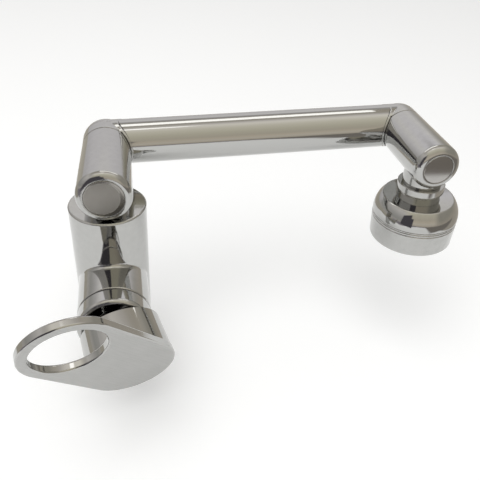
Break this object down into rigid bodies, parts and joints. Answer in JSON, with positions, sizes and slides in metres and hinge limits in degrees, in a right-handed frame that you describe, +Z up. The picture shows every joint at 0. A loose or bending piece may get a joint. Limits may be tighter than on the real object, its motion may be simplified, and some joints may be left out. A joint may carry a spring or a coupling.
{
  "type": "single-lever basin mixer",
  "caption": "Deck-mounted single-lever mixer: round column, front cartridge branch with ring lever, arm spout folding on two horizontal joints, swivelling spray head.",
  "frame": {"origin": "deck face, on the column's axis", "axes": "+Z up along the column, -Y towards the user along the cartridge branch, +X to the user's right"},
  "size_m": [0.2956, 0.1767, 0.2199],
  "materials": {
    "chrome": "polished",
    "chrome_satin_face": "polished, satin front face",
    "brass": "machined",
    "steel": "plain",
    "black_rubber": "matt",
    "black_plastic": "matt",
    "white_plastic": "matt",
    "grey_plastic": "matt",
    "ceramic": "lapped"
  },
  "bodies": {
    "column": {"body": "chrome", "base_gasket": "black_rubber", "fixing_stud": "steel", "clamp_gasket": "black_rubber", "clamp_plate": "steel", "fixing_nut": "steel", "cartridge_base": "white_plastic", "inlet_seals": "black_rubber", "outlet_seal": "black_rubber", "cartridge_housing": "white_plastic", "fixed_disc": "ceramic", "cartridge_nut": "brass", "seam_ring": "black_rubber", "cover_collar": "chrome", "spout_bush": "black_plastic", "spout_set_screw": "steel"},
    "turret": {"cartridge_turret": "white_plastic", "stem_pin": "steel"},
    "disc": {"moving_disc": "ceramic", "disc_carrier": "white_plastic"},
    "handle": {"lever": "chrome_satin_face", "stem": "steel", "grub_screw": "steel", "screw_plug": "black_plastic"},
    "spout_base": {"left_knuckle": "chrome", "pivot_tube": "brass", "spout_o_rings": "black_rubber", "left_bush": "black_plastic", "left_cap": "chrome"},
    "arm": {"left_elbow": "chrome", "left_spindle": "brass", "left_o_rings": "black_rubber", "left_washer": "steel", "left_nut": "brass", "arm_tube": "chrome", "right_elbow": "chrome", "right_spindle": "brass", "right_o_rings": "black_rubber", "right_washer": "steel", "right_nut": "brass"},
    "outlet": {"right_knuckle": "chrome", "right_bush": "black_plastic", "right_cap": "chrome", "head_nipple": "brass"},
    "head": {"swivel_collar": "chrome", "head_washer": "black_rubber", "bell": "chrome", "head_core": "white_plastic", "spray_plate": "grey_plastic", "aerator": "grey_plastic"},
    "selector": {"selector_ring": "chrome", "diverter_disc": "white_plastic"}
  },
  "joints": [
    {"name": "spout_swing", "type": "hinge", "parent": "column", "child": "spout_base", "pos_m": [0, 0, 0.13], "axis": [0, 0, 1], "range_deg": [-60, 120]},
    {"name": "arm_lift", "type": "hinge", "parent": "spout_base", "child": "arm", "pos_m": [0.00149, 0.05008, 0.1484], "axis": [-0.0297, -0.9996, 0], "range_deg": [-20, 90]},
    {"name": "head_fold", "type": "hinge", "parent": "arm", "child": "outlet", "pos_m": [0.21543, 0.04373, 0.15906], "axis": [-0.0297, -0.9996, 0], "range_deg": [-90, 90]},
    {"name": "head_turn", "type": "hinge", "parent": "outlet", "child": "head", "pos_m": [0.21386, -0.00895, 0.15906], "axis": [0.0497, -0.0015, -0.9988], "continuous": true},
    {"name": "spray_select", "type": "hinge", "parent": "head", "child": "selector", "pos_m": [0.21386, -0.00895, 0.15906], "axis": [0.0497, -0.0015, -0.9988], "range_deg": [0, 60]},
    {"name": "lever_turn", "type": "hinge", "parent": "column", "child": "turret", "pos_m": [0, -0.042, 0.074], "axis": [0, -1, 0], "range_deg": [-87.9, 12.1]},
    {"name": "lever_tilt", "type": "hinge", "parent": "turret", "child": "handle", "pos_m": [0, -0.042, 0.074], "axis": [0.7891, 0, 0.6143], "range_deg": [-21.2, 4]},
    {"name": "disc_slide", "type": "slide", "parent": "turret", "child": "disc", "axis": [-0.6143, 0, 0.7891], "range_m": [-0.00345, 0.0007]}
  ],
  "couplings": [
    {"joint": "disc_slide", "follows": "lever_tilt", "m_per_rad": 0.0092}
  ]
}
